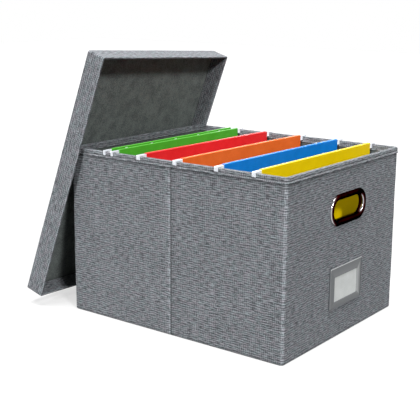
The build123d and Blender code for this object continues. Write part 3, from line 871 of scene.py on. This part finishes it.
# %% [markdown]
# ## Hard skins
#
# Three finishes are smooth and closed, and differ in what lies under the gloss.  The grip is
# stamped steel, plated nearly black with a maroon cast, and polished: it reflects sharply,
# and white glints are painted on its edges, so the eye reads it by its glints and hardly by
# its colour.  The label holder is moulded ABS with a fine spark-eroded texture, which blurs
# its highlights to a satin, and highlights are painted on its bead and window.  The
# folders' rods are steel strip under white enamel.  All three have a fine grain, and gloss
# that varies in patches the size of a fingertip, where hands have been.  Their grain is a
# few hundredths of a millimetre in truth, and is drawn 0.5 to 0.8 mm large.

# %% Plated, moulded or enamelled
PAINTED_HIGHLIGHT_WHITE = "#E4E6E7"               # white of the painted glints and painted highlights


def hard_skin(name, dark, light, gloss, grain_mm, strength, **shader):
    """A smooth skin whose roughness goes from gloss[0] to gloss[1] with 14 mm rubs, and
    whose colour goes towards white where glints and highlights are painted."""
    made, tree, surface = material(name, **shader)
    where = add(tree, "TexCoord").outputs["Object"]
    where = add(tree, "VectorMath", {0: where, 1: TO_MM}, operation="MULTIPLY")
    noises = []
    for cell, detail, rough in ((grain_mm, 2.0, 0.5), (14.0, 3.0, 0.6)):
        spot = add(tree, "VectorMath", {0: where, 1: (1 / cell,) * 3}, operation="MULTIPLY")
        pattern = {"Vector": spot, "Scale": 1.0, "Detail": detail, "Roughness": rough}
        noises.append(add(tree, "TexNoise", pattern))
    grain, rub = noises
    share = add(tree, "MapRange", {0: rub, 1: 0.3, 2: 0.7, 3: 0.0, 4: 1.0})
    ends = {0: share, 6: colour(dark), 7: colour(light)}
    skin = add(tree, "Mix", ends, data_type="RGBA").outputs[2]
    # Painted glints and highlights turn the colour towards white
    painted_light_and_wear = add(tree, "Attribute", attribute_name="painted_light_and_wear").outputs["Fac"]
    ends = {0: painted_light_and_wear, 6: skin, 7: colour(PAINTED_HIGHLIGHT_WHITE)}
    base = add(tree, "Mix", ends, data_type="RGBA").outputs[2]
    shine = add(tree, "MapRange", {0: rub, 1: 0.3, 2: 0.7, 3: gloss[0], 4: gloss[1]})
    tree.links.new(shine.outputs[0], surface.inputs["Roughness"])
    finish(tree, surface, base, grain, strength, 0.0001)
    return made


moulded = hard_skin("moulded_abs", "#424548", "#4B4F52", (0.3, 0.45), 0.5, 0.25)
dress(moulded, "label_frame")

# %% Grips and rods
plated = hard_skin(
    "plated_grip", "#300606", "#3E0A09", (0.05, 0.1), 0.6, 0.03,
    Metallic=1.0, Specular_Tint=colour("#613030"),
)
dress(plated, "front_grip", "rear_grip", "front_grommet_ring", "rear_grommet_ring")
enamelled = hard_skin("enamelled_rod", "#E4E8EF", "#F3F6FB", (0.3, 0.45), 0.8, 0.1)
dress(enamelled, *[f"{name}_folder_{end}_rod" for name in STOCK for end in ("front", "rear")])

# %% [markdown]
# ## Solids that the pieces stand for
#
# The solids replaced above stay in the frame, hidden, because they carry the touch of the
# real thing.  They get the finish of the piece that stands for them, so that nothing in
# the file is without a material.

# %% Hidden solids
wraps = [f"lid_{side}_wrap" for side in LID_SIDES]
dress(heathered_linen, "side_cover", "rim_binding", "base_cover", "lid_cover", *wraps)
dress(needled_lining_painted_shade, "lining")
dress(needled_lid_lining, "lid_lining")
dress(plated, "front_grommet", "rear_grommet")
dress(moulded, "label_holder")

# %% [markdown]
# ## A floor that fades into white
#
# The photograph has a pure white ground.  A white floor under enough light would do that,
# but it would throw pale light up at the box.  Here the floor and the world look white to
# the camera, in reflections and through glass, and are nearly black to every other ray, so
# the lamps alone light the object.  The floor keeps a soft shadow, so that the box stands.

# %% What the camera and reflections see
def seen(tree):
    """1 for rays from the camera, in reflections and through glass, and 0 for others."""
    path = add(tree, "LightPath")
    rays = {0: path.outputs["Is Camera Ray"], 1: path.outputs["Is Glossy Ray"]}
    rays = {0: add(tree, "Math", rays, operation="MAXIMUM"), 1: path.outputs["Is Transmission Ray"]}
    return add(tree, "Math", rays, operation="MAXIMUM")


WHITE = colour("#FFFFFF")
FLOOR_UNSEEN, FLOOR_SEEN, FLOOR_GLOW = 0.06, 0.27, 0.60
WORLD_UNSEEN, WORLD_SEEN = 0.04, 1.0
print("the floor returns", FLOOR_UNSEEN, "of the lamps' light to the box")

# %% The floor
FLOOR_HALF, FLOOR_DROP = 6, 0.0002              # metres; just below the box, not in it
corners = [(-1, -1, 0), (1, -1, 0), (1, 1, 0), (-1, 1, 0)]
floor_mesh = bpy.data.meshes.new("floor")
floor_mesh.from_pydata([[FLOOR_HALF * v for v in c] for c in corners], [], [(0, 1, 2, 3)])
floor_mesh.transform(Matrix.Translation((0, 0, -FLOOR_DROP)))
floor = bpy.data.objects.new("floor", floor_mesh)
bpy.context.scene.collection.objects.link(floor)
ground = bpy.data.materials.new("matt_ground")
ground.use_nodes = True
tree = ground.node_tree
tree.nodes.clear()
shade = add(tree, "MapRange", {0: seen(tree), 1: 0.0, 2: 1.0, 3: FLOOR_UNSEEN, 4: FLOOR_SEEN})
glow = add(tree, "Math", {0: seen(tree), 1: FLOOR_GLOW}, operation="MULTIPLY")
matt = add(tree, "BsdfDiffuse", {"Color": shade})
lift = add(tree, "Emission", {"Color": WHITE, "Strength": glow})
add(tree, "OutputMaterial", {"Surface": add(tree, "AddShader", {0: matt, 1: lift})})
floor_mesh.materials.append(ground)
print("floor", 2 * FLOOR_HALF, "m wide")

# %% The world
world = bpy.data.worlds.new("studio")
bpy.context.scene.world = world
world.use_nodes = True
tree = world.node_tree
tree.nodes.clear()
strength = add(tree, "MapRange", {0: seen(tree), 1: 0.0, 2: 1.0, 3: WORLD_UNSEEN, 4: WORLD_SEEN})
sky = add(tree, "Background", {"Color": WHITE, "Strength": strength})
add(tree, "OutputWorld", {"Surface": sky})
print("the world is", WORLD_SEEN, "seen and", WORLD_UNSEEN, "as light")

# %% [markdown]
# ## Light
#
# The photograph looks lit by large soft lamps: one towards the front end, one towards the
# near wall and one above.  A fourth, from behind, is for the sides that it doesn't show.
# Area lamps would light near parts more than far ones.  Suns with a wide disc are as soft
# and light every part alike, and their strength can be given as the level to which they
# light a white face square to them.

# %% Four soft lamps
LAMP_AWAY = 3                    # metres; a sun's distance doesn't change its light


def lamp(name, azimuth, elevation, level, spread):
    """A sun of energy pi x level, which lights a white face square to it to that level.

    Angles are in degrees: azimuth from -Y towards +X, elevation up, and its disc's spread.
    """
    data = bpy.data.lights.new(name, "SUN")
    data.energy, data.angle = math.pi * level, math.radians(spread)
    obj = bpy.data.objects.new(name, data)
    bpy.context.scene.collection.objects.link(obj)
    az, el = math.radians(azimuth), math.radians(elevation)
    away = Vector((math.sin(az) * math.cos(el), -math.cos(az) * math.cos(el), math.sin(el)))
    obj.location = LAMP_AWAY * away
    obj.rotation_euler = (-away).to_track_quat("-Z", "Y").to_euler()
    print(name, level)


lamp("front_lamp", 64, 34, 0.72, 10)
lamp("near_lamp", 10, 24, 0.73, 9)
lamp("top_lamp", 45, 80, 1.15, 25)
lamp("back_lamp", 215, 28, 0.60, 25)

# %% [markdown]
# ## Camera
#
# The photograph was taken from a little above the rim, with a moderate telephoto lens.  The
# numbers below were solved from the places of the box's seven visible corners.  So this
# camera stands where the real one stood, with the same slight roll.  A hand-placed camera
# would do for a picture, but not for laying the render over the photograph.

# %% Where it stands
AZIMUTH, ELEVATION, ROLL = (math.radians(v) for v in (36.968, 13.135, 0.404))
AIM_AT = np.array([-0.04906, 0.0, 0.15247])     # metres
AWAY = 1.49925
back = np.array([
    math.sin(AZIMUTH) * math.cos(ELEVATION), -math.cos(AZIMUTH) * math.cos(ELEVATION),
    math.sin(ELEVATION),
])
right = np.cross((0, 0, 1), back)
right /= np.linalg.norm(right)
above = np.cross(back, right)
right, above = (
    math.cos(ROLL) * right + math.sin(ROLL) * above,
    -math.sin(ROLL) * right + math.cos(ROLL) * above,
)
print("the camera stands at", np.round(AIM_AT + back * AWAY, 3))

# %% The camera itself
camera_data = bpy.data.cameras.new("camera")
camera_data.sensor_width = 36.0
camera_data.lens = 80.397
camera_data.clip_end = 50
camera = bpy.data.objects.new("camera", camera_data)
bpy.context.scene.collection.objects.link(camera)
pose = np.eye(4)
pose[:3, 0], pose[:3, 1], pose[:3, 2] = right, above, back
pose[:3, 3] = AIM_AT + back * AWAY
camera.matrix_world = Matrix(pose.tolist())
bpy.context.scene.camera = camera
bpy.context.scene.view_settings.view_transform = "Standard"
print("lens", camera_data.lens, "mm")
